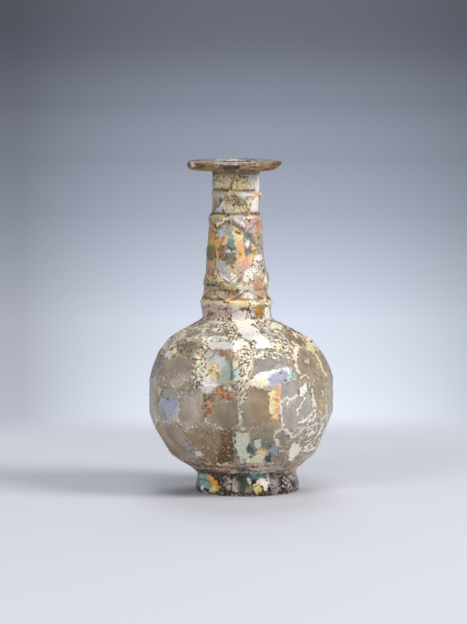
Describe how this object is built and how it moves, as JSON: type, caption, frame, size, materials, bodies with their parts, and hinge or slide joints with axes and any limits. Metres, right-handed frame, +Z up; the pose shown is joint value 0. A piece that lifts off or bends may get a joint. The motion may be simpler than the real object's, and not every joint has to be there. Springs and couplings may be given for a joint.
{
  "type": "facet-cut glass bottle",
  "caption": "Hollow blown-glass bottle with a facet-cut globe, a tapering neck cut in rows of panels, a flat disc rim and a low foot; holds and pours a liquid.",
  "frame": {"origin": "centre of the globe's outline, on the table the foot stands on", "axes": "+Z up along the bottle; the pictured side faces -Y, +X to its right"},
  "size_m": [0.0922, 0.0916, 0.165],
  "materials": {
    "weathered_glass": "old transparent glass, dulled and covered in patches by a pearly, many-coloured weathering film and a pale pitted crust"
  },
  "bodies": {
    "root": {"glass_bottle": "weathered_glass"}
  },
  "joints": []
}
